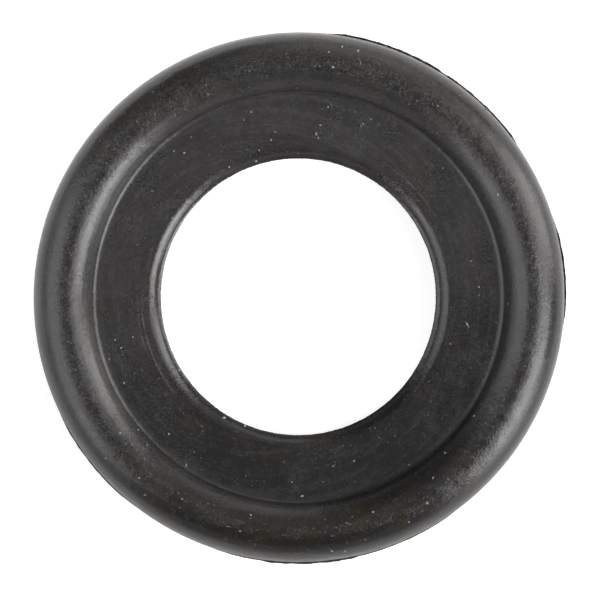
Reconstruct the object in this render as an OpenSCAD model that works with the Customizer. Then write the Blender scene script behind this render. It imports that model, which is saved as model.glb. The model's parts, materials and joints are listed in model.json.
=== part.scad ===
// Drain plug washer: one moulded rubber ring, the same from above and from below.
// A round bead around the rim seals between the plug's flange and the pan. Inside the bead the
// ring thins to a flat land, whose edges round off towards the bore. A small lip stands in from
// there, trimmed flat, and holds the washer on the plug's thread. A thin line of trimmed flash
// runs round the rim where the mould parted.
// The origin is on the bore's axis, in the plane that the washer lies on, and +Z is up.

/* [Size] */
// Outer diameter of the bead, without the flash
outer_d = 24; // [22:0.5:28]
// Diameter of the bore inside the lip
bore_d = 12.5; // [11:0.1:13]

/* [Bead] */
// Thickness of the bead, which is the full thickness of the washer
bead_t = 2.8; // [2.2:0.1:3.2]
// Radius of the hollow that joins the land to the bead
hollow_r = 0.25; // [0.1:0.05:0.5]

/* [Land] */
// Thickness of the flat land
land_t = 1; // [0.8:0.1:1.1]
// Radius of the arcs that round the land off towards the bore, more than half its thickness
edge_r = 0.6; // [0.6:0.05:0.8]

/* [Lip] */
// Thickness of the lip, which is round in section
lip_t = 0.6; // [0.55:0.05:0.7]
// Thickness of the lip at its flat tip
lip_tip_t = 0.5; // [0.4:0.05:0.5]

/* [Flash] */
// Distance that the trimmed flash stands out from the bead
flash_h = 0.08; // [0.02:0.01:0.12]
// Thickness of the flash
flash_t = 0.08; // [0.05:0.01:0.12]

/* [Hidden] */
$fn = 180;

// Radii from the axis of the bore
rim_r = outer_d / 2;
lip_r = bore_d / 2;

// The bead is a circle in section, centred on the mid-plane
bead_r = bead_t / 2;
bead_centre_r = rim_r - bead_r;

// The land's rounded edges are arcs that start from its faces and reach in to the lip's tip
land_half = land_t / 2;
edge_centre_r = lip_r + edge_r;
edge_centre_z = land_half - edge_r;

// The hollow is an arc that touches the land's face and the bead, on the land's side of the bead
hollow_z = land_half + hollow_r;
hollow_centre_r = bead_centre_r - sqrt(pow(bead_r + hollow_r, 2) - pow(hollow_z, 2));
bead_share = bead_r / (bead_r + hollow_r);
touch_r = bead_centre_r + (hollow_centre_r - bead_centre_r) * bead_share;
touch_z = hollow_z * bead_share;

// The lip's circle is cut by the flat tip
lip_section_r = lip_t / 2;
lip_centre_r = lip_r + sqrt(pow(lip_section_r, 2) - pow(lip_tip_t / 2, 2));

// Depth to which the flash is sunk into the bead, and distance that a cut runs past the section
sink = 0.2;
past = 1;

// Flat land, from the tip of the lip to the middle of the bead
module land_section() {
    difference() {
        translate([lip_r, -land_half]) square([bead_centre_r - lip_r, land_t]);
        both_faces() edge_cut();
    }
}

// What a rounded edge takes away from the land's upper corner at the bore
module edge_cut() {
    difference() {
        translate([lip_r - past, edge_centre_z]) square(past + edge_r);
        translate([edge_centre_r, edge_centre_z]) circle(r = edge_r);
    }
}

// Rubber that fills the corner between the land and the bead, up to the arc of the hollow
module hollow_fill() {
    difference() {
        polygon([
            [hollow_centre_r, 0],
            [bead_centre_r, 0],
            [touch_r, touch_z],
            [hollow_centre_r, land_half]
        ]);
        translate([hollow_centre_r, hollow_z]) circle(r = hollow_r);
    }
}

// Round lip in the bore, trimmed flat at its tip
module lip_section() {
    difference() {
        translate([lip_centre_r, 0]) circle(r = lip_section_r);
        translate([lip_r - past, -past]) square([past, 2 * past]);
    }
}

// Line of flash on the rim, at the height where the two halves of the mould met
module flash_section() {
    translate([rim_r - sink, -flash_t / 2]) square([sink + flash_h, flash_t]);
}

// A shape and its mirror image in the mid-plane
module both_faces() {
    children();
    mirror([0, 1]) children();
}

// Whole section of the ring, with its mid-plane on the X axis
module ring_section() {
    land_section();
    translate([bead_centre_r, 0]) circle(r = bead_r);
    both_faces() hollow_fill();
    lip_section();
    flash_section();
}

module washer() {
    color([0.2, 0.2, 0.2])
        translate([0, 0, bead_r]) rotate_extrude() ring_section();
}

washer();
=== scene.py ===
import itertools
import json
import math
import random

import bpy
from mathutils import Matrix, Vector, noise


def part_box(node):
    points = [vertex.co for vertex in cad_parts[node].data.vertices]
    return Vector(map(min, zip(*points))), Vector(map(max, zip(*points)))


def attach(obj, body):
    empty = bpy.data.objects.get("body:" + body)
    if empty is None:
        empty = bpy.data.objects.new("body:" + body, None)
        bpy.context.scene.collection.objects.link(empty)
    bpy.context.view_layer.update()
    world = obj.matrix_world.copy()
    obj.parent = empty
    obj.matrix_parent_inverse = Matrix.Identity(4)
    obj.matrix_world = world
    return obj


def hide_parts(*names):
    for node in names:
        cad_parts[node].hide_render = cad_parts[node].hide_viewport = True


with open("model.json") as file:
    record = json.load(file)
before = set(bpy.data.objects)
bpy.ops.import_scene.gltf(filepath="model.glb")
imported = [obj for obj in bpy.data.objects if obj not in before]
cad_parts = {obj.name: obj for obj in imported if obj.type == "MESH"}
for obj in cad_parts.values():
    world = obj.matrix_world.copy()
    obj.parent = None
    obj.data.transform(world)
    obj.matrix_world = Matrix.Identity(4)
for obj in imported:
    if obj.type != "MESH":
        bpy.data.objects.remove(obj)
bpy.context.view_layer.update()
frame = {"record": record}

# ---------------------------------------------------------------------------------------------
# Sizes. Lengths of the washer are in millimetres, and MM turns them into Blender's metres.
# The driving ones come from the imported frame; the rest repeat the section of the part's source.
# ---------------------------------------------------------------------------------------------
MM = 0.001

mounts = {mount["name"]: mount for mount in frame["record"]["mounts"]}
low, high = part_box("washer")

FLASH_H = 0.08
FLASH_T = 0.08
HOLLOW_R = 0.25
EDGE_R = 0.6
LIP_T = 0.6
LIP_TIP_T = mounts["bore"]["dims"]["length_mm"]

BEAD_R = (high[2] - low[2]) / 2 / MM
RIM_R = high[0] / MM - FLASH_H
BEAD_CENTRE_R = RIM_R - BEAD_R
LIP_R = mounts["bore"]["dims"]["r_mm"]
LAND_HALF = mounts["land_top"]["pos_m"][2] / MM - BEAD_R
EDGE_CENTRE_R = LIP_R + EDGE_R
LIP_SECTION_R = LIP_T / 2
LIP_CENTRE_R = LIP_R + math.sqrt(LIP_SECTION_R ** 2 - (LIP_TIP_T / 2) ** 2)
HOLLOW_Z = LAND_HALF + HOLLOW_R
HOLLOW_CENTRE_R = BEAD_CENTRE_R - math.sqrt((BEAD_R + HOLLOW_R) ** 2 - HOLLOW_Z ** 2)

# Faces round the ring, and steps along the arcs of its section. The section has 94 points in
# all, which makes 195,520 triangles
SEGMENTS = 1040
LIP_STEPS = 5
EDGE_STEPS = 8
HOLLOW_STEPS = 6
BEAD_STEPS = 20


# ---------------------------------------------------------------------------------------------
# The ring
# ---------------------------------------------------------------------------------------------
def placed(name, data):
    """An object of this mesh, light or camera, in the scene."""
    item = bpy.data.objects.new(name, data)
    bpy.context.scene.collection.objects.link(item)
    return item


def clamped(share):
    """A share kept between 0 and 1."""
    return min(1.0, max(0.0, share))


def smooth(share):
    """An even step from 0 to 1, flat at both ends."""
    share = clamped(share)
    return share * share * (3 - 2 * share)


def arc(centre, radius, start, end, steps):
    """Points (r, z) along an arc, from the angle start to the angle end, both included."""
    points = []
    for i in range(steps + 1):
        angle = start + (end - start) * i / steps
        points.append((centre[0] + radius * math.cos(angle), centre[1] + radius * math.sin(angle)))
    return points


def crossing(centre_a, radius_a, centre_b, radius_b):
    """The upper point where two circles of the section cross."""
    dr = centre_b[0] - centre_a[0]
    dz = centre_b[1] - centre_a[1]
    gap = math.hypot(dr, dz)
    along = (radius_a ** 2 - radius_b ** 2 + gap ** 2) / (2 * gap)
    aside = math.sqrt(radius_a ** 2 - along ** 2)
    middle = (centre_a[0] + along * dr / gap, centre_a[1] + along * dz / gap)
    ends = [
        (middle[0] - aside * dz / gap, middle[1] + aside * dr / gap),
        (middle[0] + aside * dz / gap, middle[1] - aside * dr / gap),
    ]
    return max(ends, key=lambda point: point[1])


def angle_from(centre, point):
    """Angle of a point of the section, seen from a centre."""
    return math.atan2(point[1] - centre[1], point[0] - centre[0])


# The hollow opens on to the land a little more softly than its arc does. SOFT_H is the height
# that this adds; it starts SOFT_BEFORE ahead of the arc, is full SOFT_RISE past its start, and
# has run out SOFT_FALL further on
SOFT_H = 0.020
SOFT_BEFORE = 0.09
SOFT_RISE = 0.10
SOFT_FALL = 0.45
SOFT_STEPS = 3


def soft_height(r):
    """Height that the soft start of the hollow adds at this radius."""
    past = r - HOLLOW_CENTRE_R
    rise = smooth((past + SOFT_BEFORE) / (SOFT_BEFORE + SOFT_RISE))
    fall = 1 - smooth((past - SOFT_RISE) / SOFT_FALL)
    return SOFT_H * min(rise, fall)


class Section:
    """The ring's section, as closed rings of points (r, z) about the mid-plane.

    The same number of points comes out for every height of the flash and place of the lip's tip,
    so that one section can follow another round the ring."""

    def __init__(self):
        self.lip_centre = (LIP_CENTRE_R, 0.0)
        edge_centre = (EDGE_CENTRE_R, LAND_HALF - EDGE_R)
        hollow_centre = (HOLLOW_CENTRE_R, HOLLOW_Z)
        bead_centre = (BEAD_CENTRE_R, 0.0)
        self.crease = crossing(self.lip_centre, LIP_SECTION_R, edge_centre, EDGE_R)
        edge_start = angle_from(edge_centre, self.crease)
        edge = arc(edge_centre, EDGE_R, edge_start, math.pi / 2, EDGE_STEPS)
        soft_start = HOLLOW_CENTRE_R - SOFT_BEFORE
        land = [((EDGE_CENTRE_R + soft_start) / 2, LAND_HALF)]
        land += [(soft_start + SOFT_BEFORE * i / SOFT_STEPS, LAND_HALF) for i in range(SOFT_STEPS)]
        touch = angle_from(hollow_centre, bead_centre)
        hollow = arc(hollow_centre, HOLLOW_R, -math.pi / 2, touch, HOLLOW_STEPS)
        flash_angle = math.asin(FLASH_T / 2 / BEAD_R)
        bead = arc(bead_centre, BEAD_R, touch + math.pi, flash_angle, BEAD_STEPS)[1:]

        # The points from the crease to the foot of the flash, which are the same all round
        self.fixed = [(r, z + soft_height(r)) for r, z in edge + land + hollow + bead]

    def ring(self, tip_r, flash_h):
        """The whole section, for a lip trimmed at tip_r and a flash that stands out by flash_h."""
        lip_start = math.acos((tip_r - LIP_CENTRE_R) / LIP_SECTION_R)
        lip_end = angle_from(self.lip_centre, self.crease)
        lip = arc(self.lip_centre, LIP_SECTION_R, lip_start, lip_end, LIP_STEPS)[:-1]
        rim = self.fixed[-1]
        flash = [(rim[0] + flash_h, rim[1])]
        upper = [(tip_r, 0.0)] + lip + self.fixed + flash + [(rim[0] + flash_h, 0.0)]
        lower = [(r, -z) for r, z in reversed(upper[1:-1])]
        return upper + lower

    def sharp(self):
        """Indices of the section's corners: lip's tip, crease, flash's foot and flash's tip."""
        count = len(self.ring(LIP_R, FLASH_H))
        crease = 1 + LIP_STEPS
        foot = LIP_STEPS + len(self.fixed)
        upper = [1, crease, foot, foot + 1]
        return upper + [count - i for i in upper]

    def surface(self, r):
        """Height above the mid-plane of the washer's upper face at this radius."""
        upper = [(LIP_R, LIP_TIP_T / 2)] + self.fixed
        for (r0, z0), (r1, z1) in zip(upper, upper[1:]):
            if r0 <= r <= r1:
                return z0 + (z1 - z0) * (r - r0) / (r1 - r0)
        return 0.0


def ripple(angle, waves, seed):
    """Smooth noise from -1 to 1 round the ring, with about that many waves in a turn."""
    reach = waves / (2 * math.pi)
    return noise.noise(Vector((reach * math.cos(angle), reach * math.sin(angle), seed)))


def ripples(angle, kinds):
    """Sum of several ripples, each given by its size, its waves in a turn and its seed."""
    return sum(size * ripple(angle, waves, seed) for size, waves, seed in kinds)


# Stretches of the rim where the trim left some flash: start and end in degrees from +X, how far
# the flash stands out there in millimetres, and the degrees over which it fades at its ends, half
# of them inside the stretch and half beyond it
FLASH_ARCS = [
    (-4, 15, 0.070, 5.0), (36, 57, 0.065, 2.5), (57, 82, 0.080, 4.0),
    (208, 230, 0.045, 5.0), (253, 304, 0.040, 5.0), (262, 283, 0.080, 3.0),
]

# How far the flash stands out elsewhere, in millimetres, and the ripples of its height as shares
# of it, which leave FLASH_LEAST of it at least
FLASH_LOW = 0.004
FLASH_RIPPLES = [(0.30, 200, 3.1), (0.25, 800, 5.7)]
FLASH_LEAST = 0.2


def flash_height(angle):
    """How far the flash stands out at this angle."""
    degrees = math.degrees(angle) % 360
    tall = 0.0
    for start, end, height, fade in FLASH_ARCS:
        middle = (start + end) / 2
        away = abs((degrees - middle + 180) % 360 - 180)
        inside = ((end - start) / 2 - away) / fade
        tall = max(tall, height * clamped(inside + 0.5))
    ragged = 1 + ripples(angle, FLASH_RIPPLES)
    return FLASH_LOW + tall * max(FLASH_LEAST, ragged)


# The soft ring lies a little out of round. Its rim is wider towards WIDE_ANGLE and the opposite
# side and narrower across. It is shifted towards SHIFT_ANGLE, and the hollow is shifted away by an
# amount that dies out towards the rim as a power
OUT_OF_ROUND = 0.026
WIDE_ANGLE = math.radians(30)
RIM_SHIFT = 0.022
HOLLOW_SHIFT = 0.030
HOLLOW_SHIFT_POWER = 3
SHIFT_ANGLE = math.radians(-12)

# The bead leans towards the bore, by this much on its inner flank and less at its crest, and by
# LEAN_MORE more on the side that its rim is shifted away from. The lean sets in and dies out as
# two powers, which makes it greatest at LEAN_PLACE, a share of the way from the hollow to the rim
BEAD_LEAN = 0.09
LEAN_MORE = 0.02
LEAN_RISE = 1.5
LEAN_FALL = 4
LEAN_PLACE = LEAN_RISE / (LEAN_RISE + LEAN_FALL)


def lean_share(outside):
    """How much of the lean reaches this share of the way from the hollow to the rim, unscaled."""
    return outside ** LEAN_RISE * (1 - outside) ** LEAN_FALL


def out_of_round(r, angle):
    """Radius at which a point of the round ring lies."""
    inside = clamped((r - EDGE_CENTRE_R) / (HOLLOW_CENTRE_R - EDGE_CENTRE_R))
    outside = clamped((r - HOLLOW_CENTRE_R) / (RIM_R - HOLLOW_CENTRE_R))
    oval = outside * OUT_OF_ROUND * math.cos(2 * (angle - WIDE_ANGLE))
    along = math.cos(angle - SHIFT_ANGLE)
    hollow_share = inside * (1 - outside) ** HOLLOW_SHIFT_POWER
    shift = (outside * RIM_SHIFT - hollow_share * HOLLOW_SHIFT) * along
    lean = (BEAD_LEAN - LEAN_MORE * along) * lean_share(outside) / lean_share(LEAN_PLACE)
    return r + oval + shift - lean


# The lip was trimmed a little off centre and a little oval, so it stands in further here and
# there. LIP_EXTRA is how far it does so all round, and the ripples are in millimetres
LIP_EXTRA = 0.018
LIP_OFF_CENTRE = 0.030
LIP_TALL_ANGLE = math.radians(-39)
LIP_OVAL = 0.018
LIP_RIPPLES = [(0.010, 90, 1.3), (0.014, 500, 2.9)]


def lip_tip(angle):
    """Radius at which the lip is trimmed at this angle."""
    tip_r = LIP_R - LIP_EXTRA - LIP_OFF_CENTRE * math.cos(angle - LIP_TALL_ANGLE)
    tip_r -= LIP_OVAL * math.cos(2 * angle)
    return tip_r + ripples(angle, LIP_RIPPLES)


def ring_mesh(name):
    """The revolved ring, with its uneven flash and its unevenly trimmed lip."""
    section = Section()
    angles = [2 * math.pi * i / SEGMENTS for i in range(SEGMENTS)]
    vertices = []
    for angle in angles:
        points = section.ring(lip_tip(angle), flash_height(angle))
        for r, z in points:
            out = out_of_round(r, angle) * MM
            vertices.append((out * math.cos(angle), out * math.sin(angle), (z + BEAD_R) * MM))
    count = len(points)
    faces = []
    for i in range(SEGMENTS):
        here = i * count
        there = (i + 1) % SEGMENTS * count
        for j in range(count):
            k = (j + 1) % count
            faces.append((here + j, here + k, there + k, there + j))
    mesh = bpy.data.meshes.new(name)
    mesh.from_pydata(vertices, [], faces)
    mesh.polygons.foreach_set("use_smooth", [True] * len(faces))
    corners = set(section.sharp())
    for edge in mesh.edges:
        a, b = edge.vertices
        edge.use_edge_sharp = a % count == b % count and a % count in corners
    mesh.update()
    return placed(name, mesh)


# ---------------------------------------------------------------------------------------------
# The photograph and its camera
# ---------------------------------------------------------------------------------------------
# The photograph is 600 pixels square, seen from straight above. The washer's centre and the radius
# of its bead's outer edge are in those pixels, and the camera's distance in millimetres
IMAGE_PX = 600
RING_CENTRE_PX = (298.8, 297.2)
RING_RADIUS_PX = 265.2
MM_PER_PX = RIM_R / RING_RADIUS_PX
CAMERA_DISTANCE = 200.0

# Width of the camera's sensor in millimetres, and the nearest and farthest that it sees in metres
CAMERA_SENSOR = 36.0
CAMERA_CLIP = (0.001, 100.0)


# ---------------------------------------------------------------------------------------------
# Dust and lint that lie on the washer
# ---------------------------------------------------------------------------------------------
# Specks that stand out in the photograph: x, y and width in pixels.
# They are made wider by SPECK_GROWTH, so that they show as strongly as they do there
SPECKS_PX = [
    (342, 47, 2.6), (358, 51, 2.4), (386, 47, 1.6), (380, 52, 1.4), (329, 52, 1.6),
    (333, 67, 2.4), (315, 66, 2.0), (328, 107, 1.7), (320, 125, 2.2), (316, 134, 2.8),
    (318, 138, 2.0), (361, 126, 2.0), (355, 112, 1.8), (363, 124, 1.6), (371, 119, 1.4),
    (208, 94, 1.5), (195, 104, 1.6), (251, 112, 1.7), (244, 120, 1.5), (275, 132, 1.6),
    (271, 140, 1.6), (259, 150, 1.8), (256, 161, 2.0), (229, 167, 2.0), (298, 153, 1.8),
    (153, 92, 1.6), (155, 114, 1.6), (175, 115, 1.5), (184, 153, 2.0), (174, 151, 1.6),
    (191, 137, 1.5), (209, 155, 1.6), (152, 191, 1.7), (378, 174, 1.6), (460, 96, 1.8),
    (486, 109, 2.6), (478, 106, 1.6), (437, 133, 1.6), (409, 104, 1.5), (417, 101, 1.6),
    (438, 106, 1.5), (443, 168, 1.4), (498, 195, 2.4), (50, 250, 1.7), (71, 255, 1.6),
    (121, 348, 1.7), (115, 340, 1.5), (133, 337, 1.5), (124, 383, 1.9), (109, 359, 1.5),
    (137, 245, 1.6), (471, 261, 1.7), (479, 287, 1.6), (479, 295, 1.5), (508, 304, 1.7),
    (467, 324, 2.2), (450, 344, 1.6), (546, 299, 1.6), (106, 458, 2.0), (139, 478, 2.2),
    (145, 495, 2.1), (182, 499, 1.9), (147, 445, 2.0), (132, 445, 1.8), (120, 433, 1.6),
    (138, 430, 1.6), (169, 434, 1.8), (186, 465, 2.0), (194, 452, 1.7), (354, 461, 2.4),
    (333, 466, 1.6), (302, 496, 2.3), (292, 482, 1.6), (323, 482, 1.6), (373, 512, 1.7),
    (251, 515, 1.7), (345, 551, 1.9), (332, 551, 1.6), (240, 531, 2.0), (343, 446, 1.5),
    (332, 536, 1.5), (246, 476, 1.5), (474, 416, 1.6), (445, 453, 1.6), (427, 503, 3.2),
    (409, 465, 1.5), (433, 478, 1.6), (409, 522, 1.6), (402, 535, 1.5), (224, 418, 2.7),
    (245, 426, 2.0), (179, 370, 1.8),
]
SPECK_GROWTH = 1.2

# Each speck is a lump with these limits to the stretch of its outline and to the reach of its
# corners, flattened, and raised by this share of its width
SPECK_STRETCH = (0.7, 1.4)
SPECK_REACH = (0.75, 1.2)
SPECK_FLATNESS = 0.7
SPECK_RISE = 0.12

# Fine specks: how many, the share of them on the crest of the bead, their widths in pixels, and in
# millimetres how they spread about the crest, how near the rim they come and where the rest lie
FINE_SPECKS = 450
FINE_ON_CREST = 0.45
FINE_WIDTH_PX = (0.8, 1.7)
CREST_SPREAD = 0.3
CREST_LIMIT_R = RIM_R - 0.3
STREWN_R = (LIP_R + 0.3, RIM_R - 0.5)

# Seeds of the random draws for the specks and for the fine specks
SPECK_SEED = 7
FINE_SEED = 8

# Lint: the middle line of each fibre in pixels of the photograph, and its radius in millimetres.
# The middle line is raised by a share of that radius
FIBRES_PX = [
    [(322.0, 100.5), (326.5, 100.3), (329.8, 102.6), (331.6, 106.0), (332.0, 109.5)],
    [(357.0, 57.0), (359.6, 60.0), (360.6, 63.2), (359.4, 66.5)],
    [(465.5, 322.0), (468.0, 325.0), (468.4, 328.6)],
]
FIBRE_R = 0.014
FIBRE_RISE = 0.7
FIBRE_SIDES = 6
FIBRE_STEPS = 14

# Rounds that from_pixel takes to settle on a point
PIXEL_ROUNDS = 4


def face_height(x, y, section):
    """Height above the mid-plane of the upper face, where the ring lies out of round."""
    r = math.hypot(x, y)
    moved = out_of_round(r, math.atan2(y, x)) - r
    return section.surface(r - moved)


def from_pixel(x, y, section):
    """The point on the washer's upper face, in millimetres, that shows at a pixel.

    The camera's perspective makes the place depend on the face's height there, and the height
    depends on the place, so each round starts from the last one's height."""
    z = LAND_HALF
    for _ in range(PIXEL_ROUNDS):
        scale = MM_PER_PX * (CAMERA_DISTANCE - z) / CAMERA_DISTANCE
        across = (x - RING_CENTRE_PX[0]) * scale
        up = (RING_CENTRE_PX[1] - y) * scale
        z = face_height(across, up, section)
    return Vector((across, up, z + BEAD_R))


def face_normal(point, section):
    """Normal of the washer's upper face at a point on it."""
    outward = Vector((point.x, point.y)).normalized()
    step = 0.02
    beyond = face_height(point.x + outward.x * step, point.y + outward.y * step, section)
    before = face_height(point.x - outward.x * step, point.y - outward.y * step, section)
    slope = (beyond - before) / (2 * step)
    return Vector((-slope * outward.x, -slope * outward.y, 1.0)).normalized()


def icosahedron():
    """Corners of an icosahedron with edges of length 2, and its faces, which turn outwards."""
    golden = (1 + math.sqrt(5)) / 2
    corners = []
    for a in (-1, 1):
        for b in (-golden, golden):
            corners += [Vector((0, a, b)), Vector((a, b, 0)), Vector((b, 0, a))]
    just_over_edge = 2.01
    faces = []
    for i, j, k in itertools.combinations(range(len(corners)), 3):
        a, b, c = corners[i], corners[j], corners[k]
        if max((a - b).length, (b - c).length, (c - a).length) < just_over_edge:
            outward = (b - a).cross(c - a).dot(a + b + c) > 0
            faces.append((i, j, k) if outward else (i, k, j))
    return corners, faces


LUMP_CORNERS, LUMP_FACES = icosahedron()


def add_speck(vertices, faces, point, normal, width, draw):
    """A flattened, crumpled lump half sunk in the washer's face."""
    turn = normal.rotation_difference(Vector((0, 0, 1))).inverted()
    spin = draw.uniform(0, 2 * math.pi)
    stretch = draw.uniform(*SPECK_STRETCH)
    first = len(vertices)
    for corner in LUMP_CORNERS:
        lump = corner.normalized() * width / 2 * draw.uniform(*SPECK_REACH)
        x = (lump.x * math.cos(spin) - lump.y * math.sin(spin)) * stretch
        y = (lump.x * math.sin(spin) + lump.y * math.cos(spin)) / stretch
        z = lump.z * SPECK_FLATNESS + width * SPECK_RISE
        vertices.append(point + turn @ Vector((x, y, z)))
    for face in LUMP_FACES:
        faces.append(tuple(first + index for index in face))


def curve_point(before, start, end, after, share):
    """Point of a Catmull-Rom curve between start and end."""
    square = share * share
    cube = square * share
    return 0.5 * (
        2 * start
        + (end - before) * share
        + (2 * before - 5 * start + 4 * end - after) * square
        + (3 * start - before - 3 * end + after) * cube
    )


def add_fibre(vertices, faces, pixels, section):
    """A thin round thread that lies along the washer's face, closed at both ends."""
    points = [from_pixel(x, y, section) for x, y in pixels]
    line = []
    for i in range(FIBRE_STEPS + 1):
        along = i / FIBRE_STEPS * (len(points) - 1)
        j = min(int(along), len(points) - 2)
        before = points[max(j - 1, 0)]
        after = points[min(j + 2, len(points) - 1)]
        line.append(curve_point(before, points[j], points[j + 1], after, along - j))
    first = len(vertices)
    for i, point in enumerate(line):
        ahead = (line[min(i + 1, FIBRE_STEPS)] - line[max(i - 1, 0)]).normalized()
        up = face_normal(point, section)
        across = ahead.cross(up).normalized()
        taper = math.sqrt(math.sin(math.pi * (i + 0.5) / (FIBRE_STEPS + 1)))
        for side in range(FIBRE_SIDES):
            angle = 2 * math.pi * side / FIBRE_SIDES
            offset = across * math.cos(angle) + up * (math.sin(angle) + FIBRE_RISE)
            vertices.append(point + offset * FIBRE_R * taper)
    for i in range(FIBRE_STEPS):
        for side in range(FIBRE_SIDES):
            a = first + i * FIBRE_SIDES + side
            b = first + i * FIBRE_SIDES + (side + 1) % FIBRE_SIDES
            faces.append((a, a + FIBRE_SIDES, b + FIBRE_SIDES, b))
    last = first + FIBRE_STEPS * FIBRE_SIDES
    faces.append(tuple(first + side for side in range(FIBRE_SIDES)))
    faces.append(tuple(last + side for side in reversed(range(FIBRE_SIDES))))


def loose_piece(name, vertices, faces):
    """A piece made of all these vertices and faces, which rides on the washer."""
    mesh = bpy.data.meshes.new(name)
    mesh.from_pydata([vertex * MM for vertex in vertices], [], faces)
    mesh.update()
    piece = placed(name, mesh)
    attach(piece, "root")
    return piece


def lint_and_specks(name):
    """The specks and fibres that stand out one by one."""
    section = Section()
    draw = random.Random(SPECK_SEED)
    vertices = []
    faces = []
    for x, y, width_px in SPECKS_PX:
        point = from_pixel(x, y, section)
        width = width_px * SPECK_GROWTH * MM_PER_PX
        add_speck(vertices, faces, point, face_normal(point, section), width, draw)
    for pixels in FIBRES_PX:
        add_fibre(vertices, faces, pixels, section)
    return loose_piece(name, vertices, faces)


def fine_dust(name):
    """Many small specks strewn over the washer, crowded on the crest of the bead."""
    section = Section()
    draw = random.Random(FINE_SEED)
    vertices = []
    faces = []
    for _ in range(FINE_SPECKS):
        on_crest = draw.random() < FINE_ON_CREST
        r = draw.uniform(*STREWN_R)
        if on_crest:
            r = min(draw.gauss(BEAD_CENTRE_R, CREST_SPREAD), CREST_LIMIT_R)
        angle = draw.uniform(0, 2 * math.pi)
        x = r * math.cos(angle)
        y = r * math.sin(angle)
        point = Vector((x, y, face_height(x, y, section) + BEAD_R))
        width = draw.uniform(*FINE_WIDTH_PX) * MM_PER_PX
        add_speck(vertices, faces, point, face_normal(point, section), width, draw)
    return loose_piece(name, vertices, faces)


# ---------------------------------------------------------------------------------------------
# Materials
# ---------------------------------------------------------------------------------------------
class Nodes:
    """Short ways to add nodes to a tree and to link them."""

    def __init__(self, tree):
        self.tree = tree
        tree.nodes.clear()

    def add(self, kind, inputs=None, **settings):
        """A new node with these settings, and with these inputs set or linked."""
        node = self.tree.nodes.new(kind)
        for key, value in settings.items():
            setattr(node, key, value)
        for key, value in (inputs or {}).items():
            self.give(node.inputs[key], value)
        return node

    def give(self, socket, value):
        """Link a socket to the output of another node, or set it to a plain value."""
        if isinstance(value, bpy.types.NodeSocket):
            self.tree.links.new(value, socket)
        else:
            socket.default_value = value

    def math(self, operation, a, b=0.0, clamp=False):
        node = self.add("ShaderNodeMath", {0: a, 1: b}, operation=operation, use_clamp=clamp)
        return node.outputs[0]

    def plus(self, total, *others):
        for other in others:
            total = self.math("ADD", total, other)
        return total

    def minus(self, a, b):
        return self.math("SUBTRACT", a, b)

    def times(self, a, b):
        return self.math("MULTIPLY", a, b)

    def vector(self, operation, a, b=(0.0, 0.0, 0.0)):
        node = self.add("ShaderNodeVectorMath", {0: a, 1: b}, operation=operation)
        return node.outputs["Vector"]

    def scale(self, vector, factor):
        node = self.add("ShaderNodeVectorMath", {0: vector, "Scale": factor}, operation="SCALE")
        return node.outputs["Vector"]

    def length(self, vector):
        return self.add("ShaderNodeVectorMath", {0: vector}, operation="LENGTH").outputs["Value"]

    def axis(self, vector, index):
        """One axis of a vector, where 0, 1 and 2 are X, Y and Z."""
        return self.add("ShaderNodeSeparateXYZ", {0: vector}).outputs[index]

    def towards(self, heading, degrees):
        """Cosine of the angle between a heading and a direction in the XY plane."""
        angle = math.radians(degrees)
        direction = (math.cos(angle), math.sin(angle), 0.0)
        inputs = {0: heading, 1: direction}
        node = self.add("ShaderNodeVectorMath", inputs, operation="DOT_PRODUCT")
        return node.outputs["Value"]

    def place(self):
        """Coordinates on the object, in metres."""
        return self.add("ShaderNodeTexCoord").outputs["Object"]

    def place_mm(self):
        """Coordinates on the object, in millimetres."""
        return self.scale(self.place(), 1 / MM)

    def noise(self, vector, scale, detail=2.0, roughness=0.5):
        inputs = {"Vector": vector, "Scale": scale, "Detail": detail, "Roughness": roughness}
        return self.add("ShaderNodeTexNoise", inputs).outputs["Fac"]

    def between(self, value, low_in, high_in, low_out=0.0, high_out=1.0):
        """A soft ramp, from low_out where the value is low_in to high_out where it is high_in."""
        inputs = {"Value": value, 1: low_in, 2: high_in, 3: low_out, 4: high_out}
        node = self.add("ShaderNodeMapRange", inputs, interpolation_type="SMOOTHSTEP")
        return node.outputs[0]

    def band(self, value, middle, full, edge, strength):
        """Strength where the value is within full of the middle, and none of it beyond edge."""
        away = self.math("ABSOLUTE", self.minus(value, middle))
        return self.between(away, full, edge, strength, 0.0)

    def pattern(self, place, kind):
        """Noise with a ramp over it, given as the values for noise and for between."""
        noise_values, ramp = kind
        return self.between(self.noise(place, *noise_values), *ramp)

    def mix_colour(self, share, colour_a, colour_b):
        node = self.add("ShaderNodeMix", data_type="RGBA")
        self.give(node.inputs[0], share)
        self.give(node.inputs[6], colour_a)
        self.give(node.inputs[7], colour_b)
        return node.outputs[2]


def new_material(name):
    """An empty material, and its nodes."""
    material = bpy.data.materials.new(name)
    material.use_nodes = True
    return material, Nodes(material.node_tree)


# In what follows, noise is given by its waves in a millimetre, its detail and its roughness, and
# a ramp by the two values that it runs between and what it makes of them. A pattern is both. A
# band round the ring is given by its middle radius, the distance from it to which it is full, the
# distance at which it has run out, both in millimetres, and its strength

# Rubber's own colours, linear. The warm, cool and neutral ones lie in soft patches, and an offset
# in millimetres keeps the noise of the cool ones apart from that of the warm ones
RUBBER_NEUTRAL = (0.0096, 0.0076, 0.0083, 1.0)
RUBBER_WARM = (0.0110, 0.0086, 0.0057, 1.0)
RUBBER_COOL = (0.0068, 0.0082, 0.0088, 1.0)
WARM_NOISE = (0.6, 3.0, 0.6)
WARM_RAMP = (0.48, 0.66)
COOL_PATCHES = ((0.5, 3.0, 0.6), (0.48, 0.66))
COOL_OFFSET = (31.0, 7.0, 5.0)
COOL_STRENGTH = 0.8

# Ramp over how much a heading is along Y: the bead is warmer there, and less warm along X
UPRIGHT_WARMTH = (0.35, 0.9, -0.12, 0.16)

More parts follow.
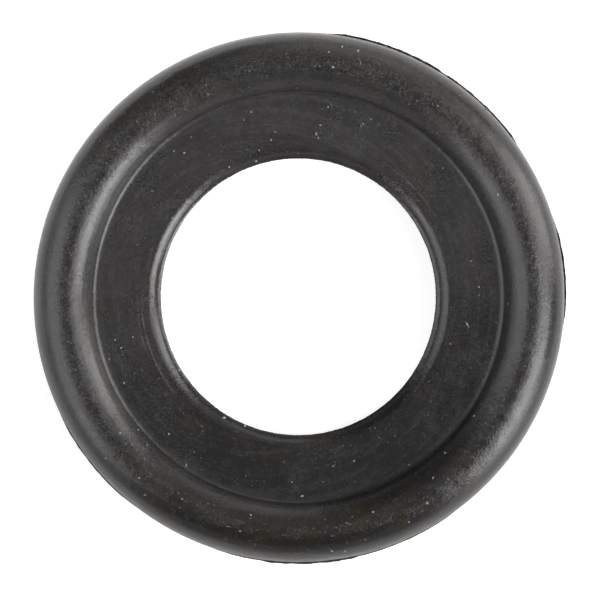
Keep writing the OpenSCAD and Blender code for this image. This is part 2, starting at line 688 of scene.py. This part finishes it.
# The outer land and the hollow are cooler. This comes in over one stretch of radii, and goes out
# over another
COOL_COMES = (7.2, 8.0, 0.0, 0.6)
COOL_GOES = (9.5, 10.0, 1.0, 0.0)

# Streaks that the mould drew: waves in a millimetre across the ring, waves in a radian round it,
# and their noise in coordinates that already count those waves
STREAKS_ACROSS = 3.5
STREAKS_ROUND = 5.0
STREAK_NOISE = (1.0, 4.0, 0.6)

# Scuffs, in patches along the crest of the bead and fewer on the land
SCUFF_BAND = (BEAD_CENTRE_R, 0.15, 0.5, 1.0)
CREST_PATCHES = ((1.3, 3.0, 0.6), (0.38, 0.56, 0.15, 1.0))
LAND_PATCHES = ((0.8, 4.0, 0.65), (0.50, 0.66, 0.0, 0.55))

# Haze of dust, which also carries painted light and shade: its colour, and what its patches, the
# painted light on one side and the streaks add to it. The haze is thinnest towards the angle
# below, in degrees from +X like the other angles here, which leaves that side in painted shade
HAZE_AND_PAINTED_LIGHT = (0.083, 0.0755, 0.0745, 1.0)
HAZE_PATCHES = ((0.45, 4.0, 0.6), (0.36, 0.66))
HAZE_IN_PATCHES = 0.07
PAINTED_SHADE_ANGLE = 285.0
PAINTED_SIDE_LIGHT = (-0.2, 0.9, 0.20, 0.0)
HAZE_IN_STREAKS = (0.5, 0.75, -0.02, 0.08)

# Painted light in the hollow: a pale band in the haze's colour that lightens it, except on the
# side away from the angle below
HOLLOW_PAINTED_LIGHT_BAND = (HOLLOW_CENTRE_R + 0.36, 0.066, 0.22, 0.15)
HOLLOW_LIGHT_ANGLE = 170.0
HOLLOW_LIGHT_SIDE = (-0.7, -0.3)

# The haze is a little thinner on the crest of the bead, and thinner on its outer flank as painted
# shade that darkens it
CREST_LESS_HAZE = 0.06
FLANK_PAINTED_SHADE = (RIM_R - 0.7, RIM_R - 0.2, 0.0, 0.12)

# Fine arcs that the mould's cutter left on the land: radius in millimetres, the middle and the
# half length in degrees, and how pale each is. They are broken here and there, and fade at their
# ends over ARC_FADE degrees to either side
LAND_ARCS = [(7.10, 201.0, 15.0, 0.60), (7.30, 190.0, 9.0, 0.30), (7.17, 45.0, 11.0, 0.35)]
ARC_FULL = 0.012
ARC_EDGE = 0.045
ARC_FADE = 4.0
ARC_BREAKS = ((2.4, 2.0, 0.6), (0.38, 0.52, 0.25, 1.0))

# Fine grains: speckle in the haze, and sparse pale grains. This share of them is everywhere, and
# so much more in the scuffs
SPECKLE = ((9.5, 3.0, 0.7), (0.35, 0.70, -0.34, 0.28))
GRAINS = ((8.0, 1.0, 0.5), (0.68, 0.76))
GRAIN_PALE = (0.20, 0.195, 0.19, 1.0)
GRAIN_COLOUR = 0.3
GRAINS_EVERYWHERE = 0.3
GRAINS_IN_SCUFFS = 0.7

# Roughness: satin, uneven in patches and streaks, duller under grains and where the hollow
# starts, glossier by the bore, and duller on the bead's outer flank towards DULL_ANGLE
ROUGHNESS = 0.252
ROUGH_PATCHES = ((2.5, 4.0, 0.65), (0.3, 0.7, -0.035, 0.035))
ROUGH_STREAKS = (0.35, 0.65, -0.025, 0.025)
ROUGH_GRAINS = 0.25
ROUGH_START_BAND = (HOLLOW_CENTRE_R, 0.1, 0.3, 0.045)
GLOSS_BY_BORE = (EDGE_CENTRE_R - 0.1, EDGE_CENTRE_R + 0.1, 0.055, 0.0)
DULL_FLANK = (RIM_R - 0.7, RIM_R - 0.3, 0.0, 0.16)
DULL_ANGLE = 250.0
DULL_SIDE = (-0.1, 0.7)

# Heights of the grain, of its extra in the scuffs, of the unevenness and of the streaks, all in
# micrometres
MICROMETRE = 1e-6
GRAIN_NOISE = (8.5, 3.0, 0.7)
GRAIN_H = 7.0
SCUFF_H = 15.0
UNEVEN_NOISE = (1.1, 3.0, 0.55)
UNEVEN_H = 20.0
STREAK_H = 13.0

RUBBER_IOR = 1.5


class RingPlace:
    """Where a point of the ring lies, and the patterns that more than one of its looks uses."""

    def __init__(self, n):
        self.mm = n.place_mm()
        flat = n.vector("MULTIPLY", self.mm, (1.0, 1.0, 0.0))
        self.radius = n.length(flat)
        self.heading = n.vector("NORMALIZE", flat)

        # Coordinates that run slowly round the ring and fast across it
        height = n.axis(self.mm, 2)
        across = n.add("ShaderNodeCombineXYZ", {0: self.radius, 1: height, 2: 0.0}).outputs[0]
        across = n.vector("MULTIPLY", across, (STREAKS_ACROSS, STREAKS_ACROSS, 0.0))
        along = n.scale(self.heading, STREAKS_ROUND)
        self.streaks = n.noise(n.vector("ADD", across, along), *STREAK_NOISE)

        self.crest = n.band(self.radius, *SCUFF_BAND)
        on_crest = n.times(self.crest, n.pattern(self.mm, CREST_PATCHES))
        self.scuffs = n.math("MAXIMUM", on_crest, n.pattern(self.mm, LAND_PATCHES))
        self.crowd = n.plus(n.times(self.scuffs, GRAINS_IN_SCUFFS), GRAINS_EVERYWHERE)
        self.grains = n.math("MULTIPLY", n.pattern(self.mm, GRAINS), self.crowd, clamp=True)


def dust_haze_and_painted_light(n, at):
    """Share of dust haze in the rubber's colour, with painted light on one side and in the hollow
    and painted shade on the bead's outer flank, without the arcs and the grains.
    """
    patches = n.times(n.pattern(at.mm, HAZE_PATCHES), HAZE_IN_PATCHES)
    # Painted light: more haze on the side away from the angle of the thinnest haze, which leaves
    # that side in painted shade
    side = n.between(n.towards(at.heading, PAINTED_SHADE_ANGLE), *PAINTED_SIDE_LIGHT)
    drawn = n.between(at.streaks, *HAZE_IN_STREAKS)
    # Painted light in the hollow, left out on the side away from its angle
    lit_hollow_side = n.between(n.towards(at.heading, HOLLOW_LIGHT_ANGLE), *HOLLOW_LIGHT_SIDE)
    hollow_painted_light = n.times(n.band(at.radius, *HOLLOW_PAINTED_LIGHT_BAND), lit_hollow_side)
    haze_and_painted_light = n.plus(patches, side, drawn, hollow_painted_light)
    haze_and_painted_light = n.minus(haze_and_painted_light, n.times(at.crest, CREST_LESS_HAZE))
    # Painted shade: less haze on the bead's outer flank
    return n.minus(haze_and_painted_light, n.between(at.radius, *FLANK_PAINTED_SHADE))


def land_arcs(n, at):
    """How pale each of the fine arcs on the land is."""
    broken = n.pattern(at.mm, ARC_BREAKS)
    arcs = []
    for radius, middle, half_length, strength in LAND_ARCS:
        line = n.band(at.radius, radius, ARC_FULL, ARC_EDGE, strength)
        start = math.cos(math.radians(half_length + ARC_FADE))
        full = math.cos(math.radians(half_length - ARC_FADE))
        stretch = n.between(n.towards(at.heading, middle), start, full)
        arcs.append(n.times(line, n.times(stretch, broken)))
    return arcs


def rubber_colour(n, at):
    """Neutral, warm and cool patches of black, with haze over them that also carries painted light
    and shade, and pale grains on top.
    """
    upright = n.math("ABSOLUTE", n.axis(at.heading, 1))
    on_bead = n.between(at.radius, HOLLOW_CENTRE_R, BEAD_CENTRE_R)
    more_warmth = n.times(n.between(upright, *UPRIGHT_WARMTH), on_bead)
    warm = n.between(n.plus(n.noise(at.mm, *WARM_NOISE), more_warmth), *WARM_RAMP)
    cool_patches = n.pattern(n.vector("ADD", at.mm, COOL_OFFSET), COOL_PATCHES)
    cool_band = n.times(n.between(at.radius, *COOL_COMES), n.between(at.radius, *COOL_GOES))
    cool = n.math("MAXIMUM", cool_patches, cool_band)
    speckle = n.times(n.pattern(at.mm, SPECKLE), at.crowd)
    haze_and_painted_light = n.plus(dust_haze_and_painted_light(n, at), *land_arcs(n, at), speckle)
    colour = n.mix_colour(warm, RUBBER_NEUTRAL, RUBBER_WARM)
    colour = n.mix_colour(n.times(cool, COOL_STRENGTH), colour, RUBBER_COOL)
    colour = n.mix_colour(n.math("MAXIMUM", haze_and_painted_light, 0.0), colour, HAZE_AND_PAINTED_LIGHT)
    return n.mix_colour(n.times(at.grains, GRAIN_COLOUR), colour, GRAIN_PALE)


def rubber_roughness(n, at):
    """Roughness of the satin surface, with its duller and its glossier places."""
    patches = n.pattern(at.mm, ROUGH_PATCHES)
    drawn = n.between(at.streaks, *ROUGH_STREAKS)
    roughness = n.plus(patches, drawn, ROUGHNESS, n.times(at.grains, ROUGH_GRAINS))
    roughness = n.minus(roughness, n.between(at.radius, *GLOSS_BY_BORE))
    dull_side = n.between(n.towards(at.heading, DULL_ANGLE), *DULL_SIDE)
    flank = n.times(n.between(at.radius, *DULL_FLANK), dull_side)
    return n.plus(roughness, n.band(at.radius, *ROUGH_START_BAND), flank)


def rubber_height(n, at):
    """Height of the fine surface, in micrometres."""
    grain_height = n.plus(n.times(at.scuffs, SCUFF_H), GRAIN_H)
    grain = n.times(n.noise(at.mm, *GRAIN_NOISE), grain_height)
    uneven = n.times(n.noise(at.mm, *UNEVEN_NOISE), UNEVEN_H)
    return n.plus(grain, uneven, n.times(at.streaks, STREAK_H))


def rubber_material():
    """Black moulded rubber, satin and a little dusty."""
    material, n = new_material("moulded_rubber")
    at = RingPlace(n)
    inputs = {"Height": rubber_height(n, at), "Strength": 1.0, "Distance": MICROMETRE}
    bump = n.add("ShaderNodeBump", inputs)
    shader = n.add("ShaderNodeBsdfPrincipled", {
        "Base Color": rubber_colour(n, at),
        "Roughness": rubber_roughness(n, at),
        "IOR": RUBBER_IOR,
        "Normal": bump.outputs[0],
    })
    n.add("ShaderNodeOutputMaterial", {"Surface": shader.outputs[0]})
    return material


# Colours between which the grains of the coarse dust and of the fine dust vary
DUST_DARK = (0.060, 0.058, 0.056, 1.0)
DUST_PALE = (0.30, 0.295, 0.285, 1.0)
FINE_DARK = (0.030, 0.029, 0.028, 1.0)
FINE_PALE = (0.13, 0.128, 0.124, 1.0)

# Flecks on each grain, which change its colour by up to FLECK and its roughness between two values
FLECK = 0.2
FLECKS = ((14.0, 2.0), (0.35, 0.65, -FLECK, FLECK))
DUST_ROUGHNESS = (0.6, 0.9)


def dust_material(name, dark, pale):
    """Mineral dust and lint, no two grains quite the same."""
    material, n = new_material(name)
    mm = n.place_mm()
    grain = n.add("ShaderNodeNewGeometry").outputs["Random Per Island"]
    fleck = n.pattern(mm, FLECKS)
    colour = n.mix_colour(n.math("ADD", grain, fleck, clamp=True), dark, pale)
    roughness = n.between(fleck, -FLECK, FLECK, *DUST_ROUGHNESS)
    shader = n.add("ShaderNodeBsdfPrincipled", {"Base Color": colour, "Roughness": roughness})
    n.add("ShaderNodeOutputMaterial", {"Surface": shader.outputs[0]})
    return material


# The floor glows by this much of white to the camera and in reflections. Its paper varies between
# two greys, in waves that are counted in a metre
WHITE = (1.0, 1.0, 1.0, 1.0)
FLOOR_GLOW = 0.65
PAPER_DARK = (0.68, 0.68, 0.68, 1.0)
PAPER_PALE = (0.72, 0.72, 0.72, 1.0)
PAPER_NOISE = (400.0, 3.0)


def floor_material():
    """White floor that keeps the washer's shadow and is white in reflections too."""
    material, n = new_material("white_floor")
    path = n.add("ShaderNodeLightPath")
    seen = n.math("MAXIMUM", path.outputs["Is Camera Ray"], path.outputs["Is Glossy Ray"])
    seen = n.math("MAXIMUM", seen, path.outputs["Is Transmission Ray"])
    inputs = {"Color": WHITE, "Strength": n.times(seen, FLOOR_GLOW)}
    glow = n.add("ShaderNodeEmission", inputs)
    tint = n.mix_colour(n.noise(n.place(), *PAPER_NOISE), PAPER_DARK, PAPER_PALE)
    matt = n.add("ShaderNodeBsdfDiffuse", {"Color": tint})
    both = n.add("ShaderNodeAddShader", {0: glow.outputs[0], 1: matt.outputs[0]})
    n.add("ShaderNodeOutputMaterial", {"Surface": both.outputs[0]})
    return material


# ---------------------------------------------------------------------------------------------
# Studio
# ---------------------------------------------------------------------------------------------
# Side of the square floor, and distance of the panels from the washer's axis, in metres
FLOOR_SIZE = 3.0
PANEL_DISTANCE = 0.6

# Colours of the panels
COOL_WHITE = (0.985, 0.985, 1.0)
WARM_WHITE = (1.0, 0.985, 0.955)

# Upright soft panels: name, azimuth in degrees from +X, half width in degrees, the angles from
# the zenith of their upper and lower edges, brightness and colour. A brightness of 1 is white
PANELS = [
    ("right_front_near", -13.0, 11.0, 20.0, 63.0, 7.7, COOL_WHITE),
    ("right_front_mid", -27.5, 3.5, 29.0, 64.0, 8.6, COOL_WHITE),
    ("right_front_far", -36.5, 6.5, 36.0, 63.0, 9.6, COOL_WHITE),
    ("right_front_low", -32.0, 16.0, 63.0, 86.0, 4.2, COOL_WHITE),
    ("right_back", 20.0, 13.0, 39.0, 86.0, 5.2, WARM_WHITE),
    ("right_back_top", 18.0, 12.0, 12.0, 38.0, 2.2, WARM_WHITE),
    ("right_back_side", 37.0, 8.0, 33.0, 76.0, 1.7, WARM_WHITE),
    ("left_edge", 214.0, 8.0, 26.0, 60.0, 3.8, COOL_WHITE),
    ("left", 178.0, 26.0, 14.0, 60.0, 2.3, COOL_WHITE),
    ("left_low", 186.0, 40.0, 58.0, 82.0, 1.1, COOL_WHITE),
    ("back", 75.0, 21.0, 50.0, 86.0, 1.1, WARM_WHITE),
    ("back_top", 76.0, 27.0, 14.0, 50.0, 0.42, WARM_WHITE),
    ("front_low", 268.0, 36.0, 56.0, 80.0, 0.40, COOL_WHITE),
]

# Brightness of the dim room by the upward part of the direction, 0 at the horizon and 1 overhead
ROOM_LEVELS = [(0.0, 0.14), (0.2, 0.17), (0.45, 0.06), (0.85, 0.06), (0.97, 0.12), (1.0, 0.12)]


def add_panel(name, azimuth, half_width, top, bottom, brightness, colour):
    """An upright rectangle of light that faces the washer's axis."""
    width = 2 * PANEL_DISTANCE * math.tan(math.radians(half_width))
    top_z = PANEL_DISTANCE / math.tan(math.radians(top))
    bottom_z = PANEL_DISTANCE / math.tan(math.radians(bottom))
    height = top_z - bottom_z
    light = bpy.data.lights.new(name, "AREA")
    light.shape = "RECTANGLE"
    light.size = width
    light.size_y = height
    light.energy = math.pi * width * height * brightness
    light.color = colour
    panel = placed(name, light)
    heading = math.radians(azimuth)
    panel.location = (
        PANEL_DISTANCE * math.cos(heading),
        PANEL_DISTANCE * math.sin(heading),
        (top_z + bottom_z) / 2,
    )
    panel.rotation_euler = (math.pi / 2, 0.0, heading + math.pi / 2)


def add_floor():
    """The white floor that the washer lies on."""
    half = FLOOR_SIZE / 2
    mesh = bpy.data.meshes.new("floor")
    corners = [(-half, -half, 0.0), (half, -half, 0.0), (half, half, 0.0), (-half, half, 0.0)]
    mesh.from_pydata(corners, [], [(0, 1, 2, 3)])
    mesh.materials.append(floor_material())
    floor = placed("floor", mesh)


def set_world():
    """Dim room that is lighter overhead and towards the horizon, and white to the camera."""
    world = bpy.data.worlds.new("room")
    bpy.context.scene.world = world
    world.use_nodes = True
    n = Nodes(world.node_tree)
    direction = n.add("ShaderNodeTexCoord").outputs["Generated"]
    ramp = n.add("ShaderNodeValToRGB", {"Fac": n.axis(direction, 2)})
    elements = ramp.color_ramp.elements
    for position, level in ROOM_LEVELS[1:-1]:
        elements.new(position)
    for element, (position, level) in zip(elements, ROOM_LEVELS):
        element.position = position
        element.color = (level, level, level, 1.0)
    path = n.add("ShaderNodeLightPath")
    colour = n.mix_colour(path.outputs["Is Camera Ray"], ramp.outputs["Color"], WHITE)
    background = n.add("ShaderNodeBackground", {"Color": colour, "Strength": 1.0})
    n.add("ShaderNodeOutputWorld", {"Surface": background.outputs[0]})


def add_camera():
    """Camera straight above the washer, with a long lens that frames the photograph's square."""
    width = IMAGE_PX * MM_PER_PX
    camera = bpy.data.cameras.new("camera")
    camera.lens = CAMERA_SENSOR * CAMERA_DISTANCE / width
    camera.sensor_width = CAMERA_SENSOR
    camera.clip_start, camera.clip_end = CAMERA_CLIP
    holder = placed("camera", camera)
    middle_px = IMAGE_PX / 2
    holder.location = (
        (middle_px - RING_CENTRE_PX[0]) * MM_PER_PX * MM,
        (RING_CENTRE_PX[1] - middle_px) * MM_PER_PX * MM,
        (BEAD_R + CAMERA_DISTANCE) * MM,
    )
    bpy.context.scene.camera = holder


# ---------------------------------------------------------------------------------------------
# The scene
# ---------------------------------------------------------------------------------------------
add_camera()
set_world()
add_floor()
for settings in PANELS:
    add_panel(*settings)

ring = ring_mesh("washer_ring")
ring.data.materials.append(rubber_material())
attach(ring, "root")
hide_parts("washer")

coarse = lint_and_specks("lint_and_specks")
coarse.data.materials.append(dust_material("coarse_dust", DUST_DARK, DUST_PALE))
fine = fine_dust("fine_dust")
fine.data.materials.append(dust_material("fine_dust", FINE_DARK, FINE_PALE))

bpy.context.scene.view_settings.view_transform = "Standard"
